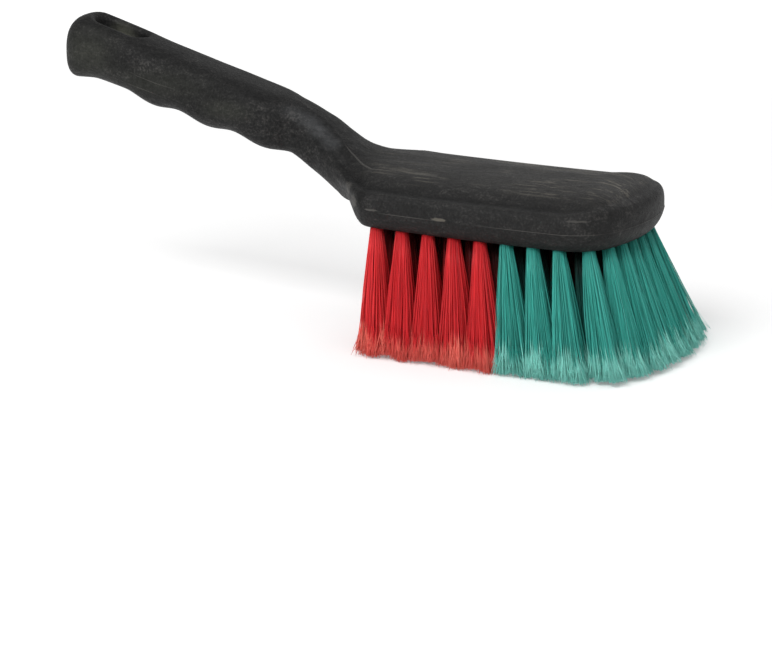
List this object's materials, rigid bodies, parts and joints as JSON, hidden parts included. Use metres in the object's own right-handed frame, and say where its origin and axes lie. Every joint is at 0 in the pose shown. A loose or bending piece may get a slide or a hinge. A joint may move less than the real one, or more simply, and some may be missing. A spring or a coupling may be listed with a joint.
{
  "type": "hand brush",
  "caption": "Short-handled hand brush: one moulded handle and block, rising curved grip with finger lobes and a hang slot, and splayed red and green bristle tufts.",
  "frame": {"origin": "middle of the whole brush seen from above, on the plane of the trimmed bristle tips", "axes": "+X from the end of the handle to the front of the brush, +Y across it, +Z from the bristle tips up to the block and the handle"},
  "size_m": [0.32, 0.106, 0.1366],
  "materials": {
    "black_plastic": "semi-matte, mottled",
    "red_bristle": "fine filaments, split tips",
    "green_bristle": "fine filaments, split tips"
  },
  "bodies": {
    "root": {"handle_block": "black_plastic", "red_tufts_row_1": "red_bristle", "red_tufts_row_2": "red_bristle", "red_tufts_row_3": "red_bristle", "red_tufts_row_4": "red_bristle", "red_tufts_row_5": "red_bristle", "red_tufts_row_6": "red_bristle", "red_tufts_row_7": "red_bristle", "red_tufts_row_8": "red_bristle", "green_tufts_row_1": "green_bristle", "green_tufts_row_2": "green_bristle", "green_tufts_row_3": "green_bristle", "green_tufts_row_4": "green_bristle", "green_tufts_row_5": "green_bristle", "green_tufts_row_6": "green_bristle", "green_tufts_row_7": "green_bristle", "green_tufts_row_8": "green_bristle"}
  },
  "joints": []
}
